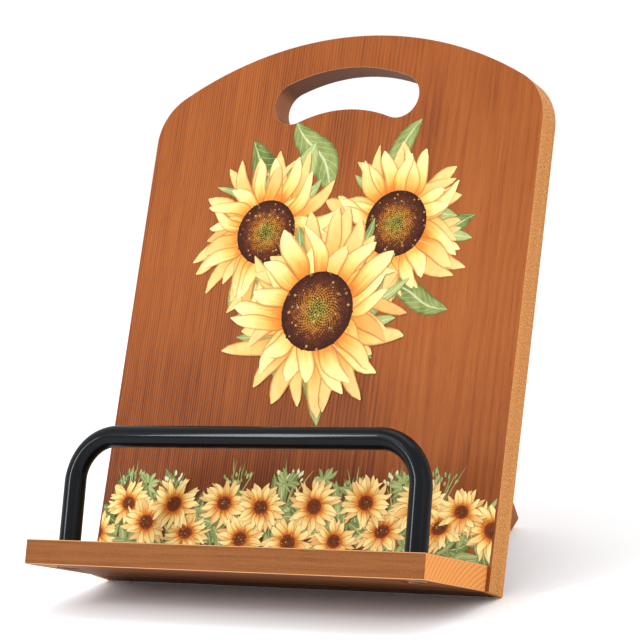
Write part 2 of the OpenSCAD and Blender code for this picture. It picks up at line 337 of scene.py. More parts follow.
def blackCoating(name):
    material, start, shader = newMaterial(
        name, Coat_Weight=coatingLook["coat"], Coat_Roughness=coatingLook["coatRoughness"],
        Specular_IOR_Level=coatingLook["specular"])
    where = start.make("ShaderNodeTexCoord", None, None, "Object")
    peel, cloud = where.noise((620, 620, 620), 2), where.noise((34, 34, 34), 3)
    scuff = where.noise((900, 170, 170), 5, 0.7).step(0.70, 0.80)
    colour = (cloud * 0.8).colour(coatingLook["blueSheenDeep"], coatingLook["cloudy"])
    colour = (scuff * 0.25).colour(colour, coatingLook["scuff"])
    rough = coatingLook["roughness"] + cloud * 0.12 + scuff * 0.2
    finishWith(start, shader, colour, rough, peel, coatingLook["peelDepth"], coatingLook["peel"])
    return material


metals = {  # bright, dull and stained colour, and roughness
    "zincFinish": ((0.42, 0.43, 0.45), (0.28, 0.29, 0.31), (0.17, 0.16, 0.14), 0.40),
    # shadedZincFinish: zinc painted dark for the shade in the page bar's recesses
    "shadedZincFinish": ((0.15, 0.15, 0.16), (0.09, 0.09, 0.10), (0.06, 0.055, 0.05), 0.45),
    "brassFinish": ((0.78, 0.56, 0.24), (0.60, 0.40, 0.15), (0.26, 0.15, 0.06), 0.26),
}
brushDepth = 0.00003


def metalFinish(name):
    bright, dull, stained, roughness = metals[name]
    material, start, shader = newMaterial(name, Metallic=1.0)
    where = start.make("ShaderNodeTexCoord", None, None, "Object")
    cloud, brushed = where.noise((240, 240, 240), 4), where.noise((260, 3200, 3200), 4, 0.65)
    spots = where.noise((900, 900, 900), 5, 0.7).step(0.58, 0.72)
    colour = cloud.step(0.3, 0.7).colour(bright, dull)
    colour = (spots * 0.5).colour(colour, stained)
    rough = roughness + brushed * 0.16 + spots * 0.2
    finishWith(start, shader, colour, rough, brushed + spots * 0.5, brushDepth, 0.5)
    return material


# refined copies of the wood and hardware

copying = {"flatWithin": 0.4, "cornerFrom": 50, "sharpFrom": 30, "sharpMetal": 32}  # degrees
bevelSteps = 3
flatWeight = 100  # how strongly the big faces pull the shading flat
nearness = {"outline": 0.02 * mm, "rear": 0.1 * mm, "leg": 0.05 * mm}  # what counts as on a face


def refined(node, material, easing=0.0, sharpFrom=copying["sharpMetal"], eases=None):
    # a merged copy of a node, with eased corners where eases(edge) allows, and smooth round faces
    source = frame["nodes"][node]
    shape = bmesh.new()
    shape.from_mesh(source.data)
    bmesh.ops.remove_doubles(shape, verts=shape.verts, dist=weldDistance)
    bmesh.ops.dissolve_limit(shape, angle_limit=math.radians(copying["flatWithin"]),
                             verts=shape.verts, edges=shape.edges)
    shape.normal_update()
    if easing:
        corners = [edge for edge in shape.edges if len(edge.link_faces) == 2
                   and edge.calc_face_angle(0) > math.radians(copying["cornerFrom"]) and eases(edge)]
        bmesh.ops.bevel(shape, geom=corners, offset=easing, segments=bevelSteps, profile=0.5,
                        affect="EDGES", clamp_overlap=True)
    bmesh.ops.triangulate(shape, faces=[face for face in shape.faces if len(face.verts) > 4])
    shape.normal_update()
    mesh = bpy.data.meshes.new(node + "Look")
    shape.to_mesh(mesh)
    shape.free()
    mesh.materials.clear()
    mesh.materials.append(material)
    mesh.shade_smooth()
    mesh.set_sharp_from_angle(angle=math.radians(sharpFrom))
    piece = bpy.data.objects.new(node + "Look", mesh)
    bpy.context.scene.collection.objects.link(piece)
    # keeps the flat faces flat beside their eased corners
    weighted = piece.modifiers.new("weighted", "WEIGHTED_NORMAL")
    weighted.keep_sharp, weighted.weight = True, flatWeight
    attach(piece, source["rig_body"])
    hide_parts(node)


def outlineOf(place, node):
    # true for the edges where a show face meets the sides, and not in the fixings' pockets
    low, high = spanIn(place, node)
    back = place.inverted()
    near = nearness["outline"]

    def allAt(ends, axis):
        return all(min(abs(p[axis] - low[axis]), abs(p[axis] - high[axis])) < near for p in ends)

    def test(edge):
        ends = [back @ vertex.co for vertex in edge.verts]
        return allAt(ends, 2) or (allAt(ends, 0) and allAt(ends, 1))
    return test


boardLow, boardHigh = spanIn(onBoard, "back_board")
boardFace, boardUp = onBoard.to_3x3().col[2].copy(), onBoard.to_3x3().col[1].copy()
ledgeLow, ledgeHigh = spanIn(onLedge, "ledge")
ledgeFace = onLedge.to_3x3().col[2].copy()

boardPiece = {
    "easing": 1.1 * mm, "heart": (0.085, -0.050), "rings": 1.25 * mm, "tone": 0.40, "paleEdges": 1.0,
    # paintedShadeBelow: from where to where up the board the painted shade under the page bar fades, and how
    # dark it is
    "paintedShadeBelow": (0.00, 0.17, 0.58), "crown": 205 * mm,
    # on the rear face, the hinges' and the screws' pockets: half width, and how far up they start and end
    "pockets": ((62 * mm, 90 * mm, 200 * mm), (100 * mm, 1 * mm, 16 * mm)),
}
ledgePiece = {
    "easing": 0.7 * mm, "heart": (-0.052, -0.062), "rings": 2.7 * mm, "tone": 0.60, "paleEdges": 0.10,
    "tint": (0.70, 0.84, 1.02), "rim": 1.5 * mm,
}
legPiece = {"easing": 0.9 * mm, "heart": (0.05, 0.09), "rings": 1.7 * mm, "tone": 0.50, "paleEdges": 0.25,
            "longEdge": 80 * mm, "footReach": 25 * mm}

boardCrown = {
    "half": boardHigh.x, "radius": boardPiece["crown"],
    "centre": onBoard.translation.dot(boardUp) + boardHigh.y - boardPiece["crown"],
}
boardWood = stainedWood("boardWood", boardUp, boardFace, boardPiece, boardPiece["heart"], boardCrown)
ledgeMiddle = onLedge @ ((ledgeLow + ledgeHigh) / 2)
ledgeHeart = (ledgeMiddle.dot(across.cross(ledgeFace)) + ledgePiece["heart"][0],
              ledgeMiddle.dot(ledgeFace) + ledgePiece["heart"][1])
ledgeWood = stainedWood("ledgeWood", across, ledgeFace, ledgePiece, ledgeHeart)

onBoardOutline = outlineOf(onBoard, "back_board")
onLedgeOutline = outlineOf(onLedge, "ledge")


def boardEdge(edge):
    # a pocket's mouth is on the rear face too, so only edges on the outline or round the hand slot are eased
    if not onBoardOutline(edge):
        return False
    middle = onBoard.inverted() @ ((edge.verts[0].co + edge.verts[1].co) / 2)
    onRear = abs(middle.z - boardLow.z) < nearness["rear"]
    up = middle.y - boardLow.y
    inPocket = any(abs(middle.x) < half and start < up < end for half, start, end in boardPiece["pockets"])
    return not (onRear and inPocket)


def ledgeEdge(edge):
    if not onLedgeOutline(edge):
        return False
    middle = onLedge.inverted() @ ((edge.verts[0].co + edge.verts[1].co) / 2)
    toSides = min(middle.x - ledgeLow.x, ledgeHigh.x - middle.x)
    toEnds = min(middle.y - ledgeLow.y, ledgeHigh.y - middle.y)
    return min(toSides, toEnds) <= ledgePiece["rim"]


refined("back_board", boardWood, boardPiece["easing"], copying["sharpFrom"], boardEdge)
refined("ledge", ledgeWood, ledgePiece["easing"], copying["sharpFrom"], ledgeEdge)

# the leg's own directions come from its hinge line and its foot
joint = frame["joints"][0]
legPoints = [vertex.co.copy() for vertex in frame["nodes"]["rear_leg"].data.vertices]
foot = min(legPoints, key=lambda p: round(p.z, 5))
hingeLine = Vector(joint["pos_m"])
legDown = Vector((0, foot.y - hingeLine.y, foot.z - hingeLine.z)).normalized()
legFace = legDown.cross(across).normalized()
legPlace = Matrix.Translation(hingeLine) @ Matrix((across, legDown, -legFace)).transposed().to_4x4()
legLow, legHigh = spanIn(legPlace, "rear_leg")
legWood = stainedWood("legWood", legDown, legFace, legPiece, legPiece["heart"])


def legEdge(edge):
    back = legPlace.inverted()
    ends = [back @ vertex.co for vertex in edge.verts]
    longSide = all(min(abs(p.x - legLow.x), abs(p.x - legHigh.x)) < nearness["leg"] for p in ends)
    acrossFoot = ((ends[0] - ends[1]).length > legPiece["longEdge"]
                  and ends[0].y > legHigh.y - legPiece["footReach"])
    return longSide or acrossFoot


refined("rear_leg", legWood, legPiece["easing"], copying["sharpFrom"], legEdge)
print("wood pieces done")

finishes = {name: metalFinish(name) for name in metals}
slotOf = {part["node"]: part["material_slot"] for part in frame["record"]["subparts"]}
for node in sorted(frame["nodes"]):
    if slotOf[node] == "brass":
        refined(node, finishes["brassFinish"])
    elif slotOf[node] == "zinc_steel":  # the bar's fixings are painted dark for the shade in their recesses
        finish = "shadedZincFinish" if node.startswith("bar_") else "zincFinish"
        refined(node, finishes[finish])
print("fixings and hinges done")


# geometry node helpers

number, whole = "NodeSocketFloat", "NodeSocketInt"


def newTree(name, inputs):
    tree = bpy.data.node_groups.new(name, "GeometryNodeTree")
    for label, kind, value in (*inputs, ("Material", "NodeSocketMaterial", None)):
        socket = tree.interface.new_socket(label, in_out="INPUT", socket_type=kind)
        if value is not None:
            socket.default_value = value
    tree.interface.new_socket("Geometry", in_out="OUTPUT", socket_type="NodeSocketGeometry")
    start = Wire(tree)
    return tree, start, start.make("NodeGroupInput")


def closeTree(start, geometry):
    real = start.make("GeometryNodeRealizeInstances", None, {0: geometry})
    material = start.make("NodeGroupInput", None, None, "Material")
    dressed = start.make("GeometryNodeSetMaterial", None, {"Geometry": real, "Material": material})
    start.make("NodeGroupOutput", None, {0: dressed})


def builtMesh(tree, values):
    # runs a tree on an empty mesh and hands back the plain mesh
    holder = bpy.data.objects.new("holder", bpy.data.meshes.new("holder"))
    bpy.context.scene.collection.objects.link(holder)
    modifier = holder.modifiers.new("build", "NODES")
    modifier.node_group = tree
    identifiers = {item.name: item.identifier for item in tree.interface.items_tree if item.in_out == "INPUT"}
    for label, value in values.items():
        modifier[identifiers[label]] = value
    seen = bpy.context.evaluated_depsgraph_get()
    mesh = bpy.data.meshes.new_from_object(holder.evaluated_get(seen))
    blank = holder.data
    bpy.data.objects.remove(holder)
    bpy.data.meshes.remove(blank)
    return mesh


def placed(mesh, matrix, name):
    mesh.transform(matrix)
    piece = bpy.data.objects.new(name, mesh)
    bpy.context.scene.collection.objects.link(piece)
    return piece


def walled(piece, thickness, name):
    # gives a sheet or an open tube its thickness, inwards, as a plain mesh
    solid = piece.modifiers.new("wall", "SOLIDIFY")
    solid.thickness, solid.offset, solid.use_even_offset, solid.use_rim = thickness, -1, False, True
    seen = bpy.context.evaluated_depsgraph_get()
    mesh = bpy.data.meshes.new_from_object(piece.evaluated_get(seen))
    old = piece.data
    piece.modifiers.clear()
    piece.data = mesh
    bpy.data.meshes.remove(old)
    mesh.name = name
    return piece


# page bar: one tube, bent twice

barLow, barHigh = spanIn(onLedge, "page_bar")
barPiece = {
    "tube": barHigh.y - barLow.y, "wall": 1.2 * mm, "bend": 24 * mm, "narrowing": 0.045,
    "around": 36, "bendSteps": 26, "sharpFrom": 40,
}


def tubeTree():
    tree, start, given = newTree("bentTube", [
        ("Half width", number, 0.1), ("Top", number, 0.06), ("Bend", number, 0.024),
        ("Radius", number, 0.005), ("Narrowing", number, 0.04), ("Around", whole, 32),
        ("Bend steps", whole, 20)])
    half, top, bend = given, given.other("Top"), given.other("Bend")
    legs = start.make("GeometryNodeCurvePrimitiveQuadrilateral", {"mode": "POINTS"}, {
        "Point 1": start.vector(-1 * half, 0.0, 0.0), "Point 2": start.vector(-1 * half, 0.0, top),
        "Point 3": start.vector(half, 0.0, top), "Point 4": start.vector(half, 0.0, 0.0)})
    opened = start.make("GeometryNodeSetSplineCyclic", None, {"Geometry": legs, "Cyclic": False})
    rounded = start.make("GeometryNodeFilletCurve", {"mode": "POLY"}, {
        "Curve": opened, "Radius": bend, "Count": given.other("Bend steps")})
    spot = start.make("ShaderNodeSeparateXYZ", None, {0: start.make("GeometryNodeInputPosition")})
    fromSide = (abs(spot) - (half - bend)).step(-0.002, 0.008)
    inBend = fromSide * (spot.other("Z") - (top - bend)).step(-0.002, 0.008)
    profile = start.make("GeometryNodeCurvePrimitiveCircle", {"mode": "RADIUS"}, {
        "Resolution": given.other("Around"), "Radius": given.other("Radius")})
    swept = start.make("GeometryNodeCurveToMesh", None, {
        "Curve": rounded, "Profile Curve": profile, "Fill Caps": False,
        "Scale": 1 - inBend * given.other("Narrowing")})
    closeTree(start, swept)
    return tree


barMesh = builtMesh(tubeTree(), {
    "Half width": (barHigh.x - barLow.x - barPiece["tube"]) / 2,
    "Top": barHigh.z - barLow.z - barPiece["tube"] / 2,
    "Bend": barPiece["bend"], "Radius": barPiece["tube"] / 2, "Narrowing": barPiece["narrowing"],
    "Around": barPiece["around"], "Bend steps": barPiece["bendSteps"],
    "Material": blackCoating("blackCoating")})
barSpot = onLedge @ Matrix.Translation((0, (barLow.y + barHigh.y) / 2, barLow.z))
bar = placed(barMesh, barSpot, "pageBarLook")
shape = bmesh.new()
shape.from_mesh(barMesh)
bmesh.ops.remove_doubles(shape, verts=shape.verts, dist=weldDistance)
bmesh.ops.recalc_face_normals(shape, faces=shape.faces)
top = max(shape.faces, key=lambda face: face.calc_center_median().dot(ledgeFace))
if top.normal.dot(ledgeFace) < 0:  # an open tube has no inside of its own, so its top tells which way is out
    bmesh.ops.reverse_faces(shape, faces=shape.faces)
shape.to_mesh(barMesh)
shape.free()
bar = walled(bar, barPiece["wall"], "pageBarLook")
bar.data.shade_smooth()
bar.data.set_sharp_from_angle(angle=math.radians(barPiece["sharpFrom"]))
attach(bar, "root")
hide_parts("page_bar")
print("page bar done")


# printed sunflowers: flat films of ink on the board, each petal its own

ink = {
    "gap": 0.03 * mm, "layer": 0.008 * mm, "film": 0.004 * mm,  # above the board, between petals, and its own
    "specular": 0.07, "relief": 0.00007, "woodShows": (0.30, 0.10, 0.035),
    "tip": (0.90, 0.72, 0.31), "cream": (0.86, 0.62, 0.22), "yellow": (0.82, 0.46, 0.10),
    "amber": (0.64, 0.19, 0.020), "rust": (0.28, 0.030, 0.006), "rim": (0.36, 0.115, 0.020),
    "streak": (0.93, 0.82, 0.48), "shaded": (0.56, 0.24, 0.040),
    "leaf": (0.125, 0.165, 0.032), "leafPale": (0.34, 0.39, 0.135), "leafDark": (0.014, 0.032, 0.009),
    "rib": (0.66, 0.70, 0.42), "midrib": (0.70, 0.72, 0.44),
    "seedSpeck": (0.74, 0.42, 0.13), "seedGap": (0.02, 0.006, 0.003),
    "bloomLow": (0.44, 0.47, 0.20), "bloomHigh": (0.84, 0.82, 0.58),
}
seedRings = {  # colours from the middle of a seed head out to its rim
    "seed": ((0.0, (0.16, 0.19, 0.03)), (0.24, (0.34, 0.23, 0.03)), (0.44, (0.40, 0.14, 0.02)),
             (0.70, (0.11, 0.026, 0.008)), (1.0, (0.028, 0.007, 0.004))),
    "smallSeed": ((0.0, (0.10, 0.055, 0.012)), (0.24, (0.075, 0.032, 0.008)), (0.44, (0.055, 0.018, 0.005)),
                  (0.70, (0.11, 0.026, 0.005)), (1.0, (0.24, 0.040, 0.006))),
}
ringLevels = 5  # ink layers that a ring of petals takes, as its last petal lies above the first
flowerLevels = 18
tuckedUnder = 0.78  # petals start at this share of the seed head's reach
sepal = {"start": 0.3, "length": 0.66, "width": 0.13}  # as shares of the flower's reach


def petalTree():
    tree, start, given = newTree("petalRing", [
        ("Petals", whole, 20), ("Start", number, 0.01), ("Length", number, 0.03), ("Width", number, 0.01),
        ("Sweep", number, math.tau), ("First angle", number, 0.0), ("Unevenness", number, 0.2),
        ("Bend", number, 0.15), ("Taper", number, 0.80), ("Steps", whole, 9),
        ("Layer", number, 0.00001), ("Seed", whole, 1)])
    seed, length, width = given.other("Seed"), given.other("Length"), given.other("Width")

    def read(name):
        return start.make("GeometryNodeInputNamedAttribute", {"data_type": "FLOAT"}, {"Name": name})

    # one petal, widest a little way along and closed at both ends
    grid = start.make("GeometryNodeMeshGrid", None, {
        "Size X": 1.0, "Size Y": 1.0, "Vertices X": 5, "Vertices Y": given.other("Steps")})
    flat = start.make("ShaderNodeSeparateXYZ", None, {0: grid.other("UV Map")})
    side, along = flat * 2 - 1, flat.other("Y")
    swell = (along + 0.05) ** 0.75 * (1.005 - along) ** given.other("Taper") * 2.3
    blade = start.make("GeometryNodeSetPosition", None, {
        "Geometry": grid.store("along", along).store("across", side),
        "Position": start.vector(side * width * swell * 0.5, given.other("Start") + along * length, 0.0)})

    # the last petal lies above the first, so no two neighbours share a level
    index = start.make("GeometryNodeInputIndex")
    spread = given.other("Sweep") * (index + seed.chance(-0.32, 0.32, 1)) / given
    last = index.of("COMPARE", given - 1, 0.5)
    rise = index.of("MODULO", ringLevels - 1.0) * (1 - last) + last * (ringLevels - 1)
    points = start.make("GeometryNodeMeshLine", {"mode": "OFFSET"}, {
        "Count": given, "Start Location": (0, 0, 0), "Offset": (0, 0, 0)})
    points = points.store("turn", given.other("First angle") + spread)
    points = points.store("shade", seed.chance(0.0, 1.0, 2)).store("curl", seed.chance(-1.0, 1.0, 3))
    points = start.make("GeometryNodeSetPosition", None, {
        "Geometry": points, "Offset": start.vector(0.0, 0.0, rise * given.other("Layer"))})
    uneven = 1 - given.other("Unevenness") * seed.chance(0.0, 1.0, 5)
    ring = start.make("GeometryNodeInstanceOnPoints", None, {
        "Points": points, "Instance": blade, "Rotation": start.vector(0.0, 0.0, read("turn")),
        "Scale": start.vector(seed.chance(0.82, 1.16, 4), uneven, 1.0)})
    ring = start.make("GeometryNodeRealizeInstances", None, {0: ring})

    # each petal leans to one side and wavers a little
    reach, turn = read("along"), read("turn")
    waver = (reach * 7 + read("shade") * 30).of("SINE") * width * 0.10
    sway = read("curl") * given.other("Bend") * length * reach * reach + waver
    ring = start.make("GeometryNodeSetPosition", None, {
        "Geometry": ring, "Offset": start.vector(turn.of("COSINE") * sway, turn.of("SINE") * sway, 0.0)})
    closeTree(start, ring)
    return tree


def seedTree():
    tree, start, given = newTree("seedHead", [
        ("Florets", whole, 300), ("Radius", number, 0.018), ("Layer", number, 0.00001), ("Seed", whole, 1)])
    radius, seed = given.other("Radius"), given.other("Seed")
    goldenAngle = 137.508

    index = start.make("GeometryNodeInputIndex")
    share = ((index + 0.5) / given) ** 0.5
    angle = index * math.radians(goldenAngle)
    points = start.make("GeometryNodeMeshLine", {"mode": "OFFSET"}, {
        "Count": given, "Start Location": (0, 0, 0), "Offset": (0, 0, 0)})
    points = points.store("along", share).store("shade", seed.chance(0.0, 1.0, 1))
    points = points.store("across", seed.chance(0.0, 1.0, 2))
    points = start.make("GeometryNodeSetPosition", None, {"Geometry": points, "Position": start.vector(
        angle.of("COSINE") * share * radius, angle.of("SINE") * share * radius,
        given.other("Layer") * seed.chance(1.0, 4.0, 7))})
    floret = start.make("GeometryNodeMeshCircle", {"fill_type": "NGON"}, {
        "Vertices": 5, "Radius": radius / given ** 0.5})
    size = seed.chance(0.62, 1.18, 3)
    dots = start.make("GeometryNodeInstanceOnPoints", None, {
        "Points": points, "Instance": floret, "Rotation": start.vector(0.0, 0.0, angle),
        "Scale": start.vector(size, size, 1.0)})
    ground = start.make("GeometryNodeMeshCircle", {"fill_type": "TRIANGLE_FAN"}, {
        "Vertices": 48, "Radius": radius * 1.01})
    ground = ground.store("along", 1.02).store("shade", 0.1).store("across", 0.5)
    both = start.make("GeometryNodeJoinGeometry", None, {0: ground})
    start.tree.links.new(dots.socket, both.socket.node.inputs[0])
    closeTree(start, both)
    return tree


def inkMaterial(name, paint, roughness=0.50):
    # paint(along, across, shade, wash, grit) gives the colour; the wood's fibres show through in the relief
    material, start, shader = newMaterial(name, Specular_IOR_Level=ink["specular"])

    def read(attribute):
        return start.make("ShaderNodeAttribute", {"attribute_name": attribute}, None, "Fac")

    where = start.make("ShaderNodeTexCoord", None, None, "Object")
    place = where.turnedTo((boardUp.cross(boardFace), boardUp, boardFace))
    fibre = place.noise(*woodNoise["fibre"])
    wash, grit = place.noise((150, 110, 150), 5, 0.65), place.noise((1400, 1400, 1400), 3, 0.7)
    colour = paint(read("along"), read("across"), read("shade"), wash, grit)
    colour = (fibre.step(0.52, 0.78) * 0.10).colour(colour, ink["woodShows"])
    rough = roughness + (fibre - 0.5) * 0.14 + wash * 0.05
    finishWith(start, shader, colour, rough, fibre * 0.6 + grit * 0.15, ink["relief"], 0.6)
    return material


def petalPaint(rust, dim=0.0):
    def paint(along, across, shade, wash, grit):
        reach = along + (wash - 0.5) * (0.30 - rust * 0.16)
        lines = along.make("ShaderNodeTexNoise", None, {
            "Vector": along.vector(across * 3.4, along * 0.9, shade * 37),
            "Scale": 1.0, "Detail": 4.0, "Roughness": 0.6})
        body = reach.ramp((0.0, ink["rust"]), (0.22, ink["amber"]), (0.42 - rust * 0.06, ink["yellow"]),
                          (0.62 - rust * 0.08, ink["cream"]), (1.0, ink["tip"]))
        drawn = (lines - 0.44).step(0.0, 0.22) * (1.0 - along).step(0.25, 0.9) * 0.9
        body = drawn.colour(body, ink["rust"] if rust else ink["amber"])
        body = (lines.step(0.20, 0.42) * -0.6 + 0.6).colour(body, ink["streak"])
        body = (shade.step(0.72, 1.0) * 0.5).colour(body, ink["amber"])
        body = (wash * dim * 1.6).colour(body, ink["shaded"])
        rim = abs(across).step(0.66, 1.0) * (0.45 + wash * 0.7)
        return rim.colour(body, ink["rim"])
    return paint


def leafPaint(pale):
    def paint(along, across, shade, wash, grit):
        ribs = (abs(across) * 2.0 + along * 9).of("PINGPONG", 0.5) * 2
        body = (wash * 0.9 + shade * 0.55 - 0.15).ramp(
            (0.0, ink["leafDark"]), (0.42 - pale * 0.22, ink["leaf"]), (0.95 - pale * 0.2, ink["leafPale"]))
        body = (ribs.step(0.82, 1.0) * 0.35).colour(body, ink["rib"])
        body = ((1 - abs(across).step(0.0, 0.14)) * 0.6).colour(body, ink["midrib"])
        return (abs(across).step(0.72, 1.0) * 0.5).colour(body, ink["leafDark"])
    return paint


def seedPaint(kind):
    def paint(along, across, shade, wash, grit):
        body = (along + (shade - 0.5) * 0.16).ramp(*seedRings[kind])
        body = (shade.step(0.92, 1.0) * 0.6).colour(body, ink["seedSpeck"])
        return (grit.step(0.45, 0.75) * 0.45).colour(body, ink["seedGap"])
    return paint


def bloomPaint(along, across, shade, wash, grit):
    return (wash * 0.6 + along * 0.4).ramp((0.2, ink["bloomLow"]), (0.8, ink["bloomHigh"]))


seedRoughness = 0.58
inks = {
    "petal": inkMaterial("petalInk", petalPaint(0)),
    "petalBack": inkMaterial("petalBackInk", petalPaint(0, 0.5)),
    "smallPetal": inkMaterial("smallPetalInk", petalPaint(1)),
    "smallPetalBack": inkMaterial("smallPetalBackInk", petalPaint(1, 0.4)),
    "leaf": inkMaterial("leafInk", leafPaint(0)),
    "paleLeaf": inkMaterial("paleLeafInk", leafPaint(1)),
    "bloom": inkMaterial("bloomInk", bloomPaint),
    "seed": inkMaterial("seedInk", seedPaint("seed"), seedRoughness),
    "smallSeed": inkMaterial("smallSeedInk", seedPaint("smallSeed"), seedRoughness),
}
petalRing, seedHead = petalTree(), seedTree()


def spotOn(x, y, level, turn=0.0, squash=(1, 1)):
    moved = Matrix.Translation((x, boardLow.y + y, ink["gap"] + level * ink["layer"]))
    return onBoard @ moved @ Matrix.Rotation(turn, 4, "Z") @ Matrix.Diagonal((*squash, 1, 1))


def petals(sheets, spot, material, count, start, length, width, seed,
           sweep=math.tau, first=0.0, uneven=0.18, bend=0.5, taper=0.62, steps=9):
    mesh = builtMesh(petalRing, {
        "Petals": count, "Start": start, "Length": length, "Width": width, "Sweep": sweep,
        "First angle": first, "Unevenness": uneven, "Bend": bend, "Taper": taper, "Steps": steps,
        "Layer": ink["layer"], "Seed": seed, "Material": inks[material]})
    sheets.append(placed(mesh, spot, "sheet"))


def flower(sheets, x, y, reach, level, seed, look, turn=0.0, squash=(1, 1)):
    # sepals, a back row and a front row of petals, and the seed head over them
    first = (seed * 0.37) % 1

    def at(ring):
        return spotOn(x, y, level + ring * ringLevels, turn, squash)

    if look["sepals"]:
        petals(sheets, at(0), "paleLeaf", look["sepals"], reach * sepal["start"], reach * sepal["length"],
               reach * sepal["width"], seed + 5, first=first, bend=0.4, uneven=0.35, steps=look["steps"])
    for row, (grow, shift) in enumerate(((1.0, 0.0), (0.90, 0.5))):
        petals(sheets, at(1 + row), look["petal"] + ("Back", "")[row], look["petals"] - row * 2,
               reach * look["disc"] * tuckedUnder, reach * (grow - look["disc"] * tuckedUnder),
               reach * look["width"], seed + row * 11,
               first=first + shift * math.tau / look["petals"], uneven=look["uneven"], steps=look["steps"])
    mesh = builtMesh(seedHead, {
        "Florets": look["florets"], "Radius": reach * look["disc"], "Layer": ink["layer"] * 0.4,
        "Seed": seed, "Material": inks[look["seed"]]})
    sheets.append(placed(mesh, at(3), "sheet"))


def leaf(sheets, x, y, length, width, degrees, level, seed, material="leaf", bend=0.35, steps=9):
    petals(sheets, spotOn(x, y, level), material, 1, 0.0, length, width, seed,
           first=math.radians(degrees), uneven=0.0, bend=bend, taper=0.75, steps=steps)


trim = {"sides": 1.15, "aboveLedge": 0.3 * mm, "within": 0.0000001}


def printed(sheets, name):
    # joins the sheets, trims them to the board's face above the ledge, and gives the film its thickness
    with bpy.context.temp_override(active_object=sheets[0], selected_editable_objects=sheets,
                                   selected_objects=sheets):
        bpy.ops.object.join()
    film = sheets[0]
    film.name = name
    shape = bmesh.new()
    shape.from_mesh(film.data)
    ledgeTop = (onBoard.inverted() @ (onLedge @ Vector((0, ledgeHigh.y, 0)))).y
    inset = boardPiece["easing"] * trim["sides"]
    back = onBoard.to_3x3()
    cuts = ((boardLow.x + inset, 0, (-1, 0, 0)), (boardHigh.x - inset, 0, (1, 0, 0)),
            (0, ledgeTop + trim["aboveLedge"], (0, -1, 0)))
    for x, y, away in cuts:
        bmesh.ops.bisect_plane(
            shape, geom=shape.verts[:] + shape.edges[:] + shape.faces[:], dist=trim["within"],
            plane_co=onBoard @ Vector((x, y, 0)), plane_no=back @ Vector(away), clear_outer=True)
    bmesh.ops.triangulate(shape, faces=[face for face in shape.faces if len(face.verts) > 4])
    shape.normal_update()
    turned = [face for face in shape.faces if face.normal.dot(boardFace) < 0]
    bmesh.ops.reverse_faces(shape, faces=turned)
    shape.to_mesh(film.data)
    shape.free()
    walled(film, ink["film"], name)
    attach(film, "root")


bigFlower = {
    "petals": 25, "disc": 0.36, "width": 0.19, "uneven": 0.32, "florets": 700, "sepals": 13, "steps": 10,
    "petal": "petal", "seed": "seed",
}
bouquetPiece = {  # heads as x across and y up the board in mm, reach and turn, and a ring of leaves behind
    "heads": [(41, 192, 50, 0.2), (-39, 190, 50, 0.7), (0, 145, 60, 0.0)],
    "middle": (0, 172), "headsFrom": 13,
    "leaves": 13, "leafStart": 42, "leafLength": (38, 50), "leafWidth": (14, 19), "leafBend": 0.2, "seed": 5,
}
leafInks = ("leaf", "leaf", "paleLeaf")
chooser = random.Random(bouquetPiece["seed"])
sheets = []
for count in range(bouquetPiece["leaves"]):
    degrees = 360 * (count + chooser.uniform(-0.2, 0.2)) / bouquetPiece["leaves"]
    x = bouquetPiece["middle"][0] - bouquetPiece["leafStart"] * math.sin(math.radians(degrees))
    y = bouquetPiece["middle"][1] + bouquetPiece["leafStart"] * math.cos(math.radians(degrees))
    length = chooser.uniform(*bouquetPiece["leafLength"])
    width = chooser.uniform(*bouquetPiece["leafWidth"])
    leaf(sheets, x * mm, y * mm, length * mm, width * mm, degrees, count % 10 * 0.8, 60 + count,
         leafInks[count % 3], bouquetPiece["leafBend"])
for count, (x, y, reach, turn) in enumerate(bouquetPiece["heads"]):
    level = bouquetPiece["headsFrom"] + count * flowerLevels
    flower(sheets, x * mm, y * mm, reach * mm, level, 21 + count * 7, bigFlower, turn)
printed(sheets, "bouquetPrint")
print("bouquet done")

smallFlower = {
    "petals": 17, "disc": 0.26, "width": 0.25, "uneven": 0.16, "florets": 70, "sepals": 0, "steps": 7,
    "petal": "smallPetal", "seed": "smallSeed",
}
borderPiece = {  # a strewn border; places in mm across and up the board
    "flowers": 17, "firstFlower": -119, "step": 29.6, "lowRow": 26, "highRow": 42, "reach": (14.0, 19.0),
    "flowersFrom": 20, "foliage": 260, "foliageHalf": 120, "foliageTop": 58, "leafLength": (12, 22),
    "leafWidth": (3.5, 8), "leafLean": 75, "sprigs": 7, "sprigHalf": 114, "sprigFoot": 38,
    "sprigLength": (24, 32), "sprigSweep": 0.9, "stems": 7, "stemWidth": 0.7,
    "blossoms": 12, "blossomsFrom": 0.72, "blossomLength": 3.4, "blossomWidth": 1.6,
    "buds": 4, "budHalf": 110, "budHeight": (50, 58), "budPetals": 11, "budLength": 8, "budWidth": 2.6,
    "budStalk": 16, "stalks": 3, "stalkLength": 14, "stalkWidth": 1.4, "seed": 12,
}
chooser = random.Random(borderPiece["seed"])


def strewn(half, count, total):  # a place across the board, one in each equal share of it
    return -half + 2 * half * (count + chooser.random()) / total


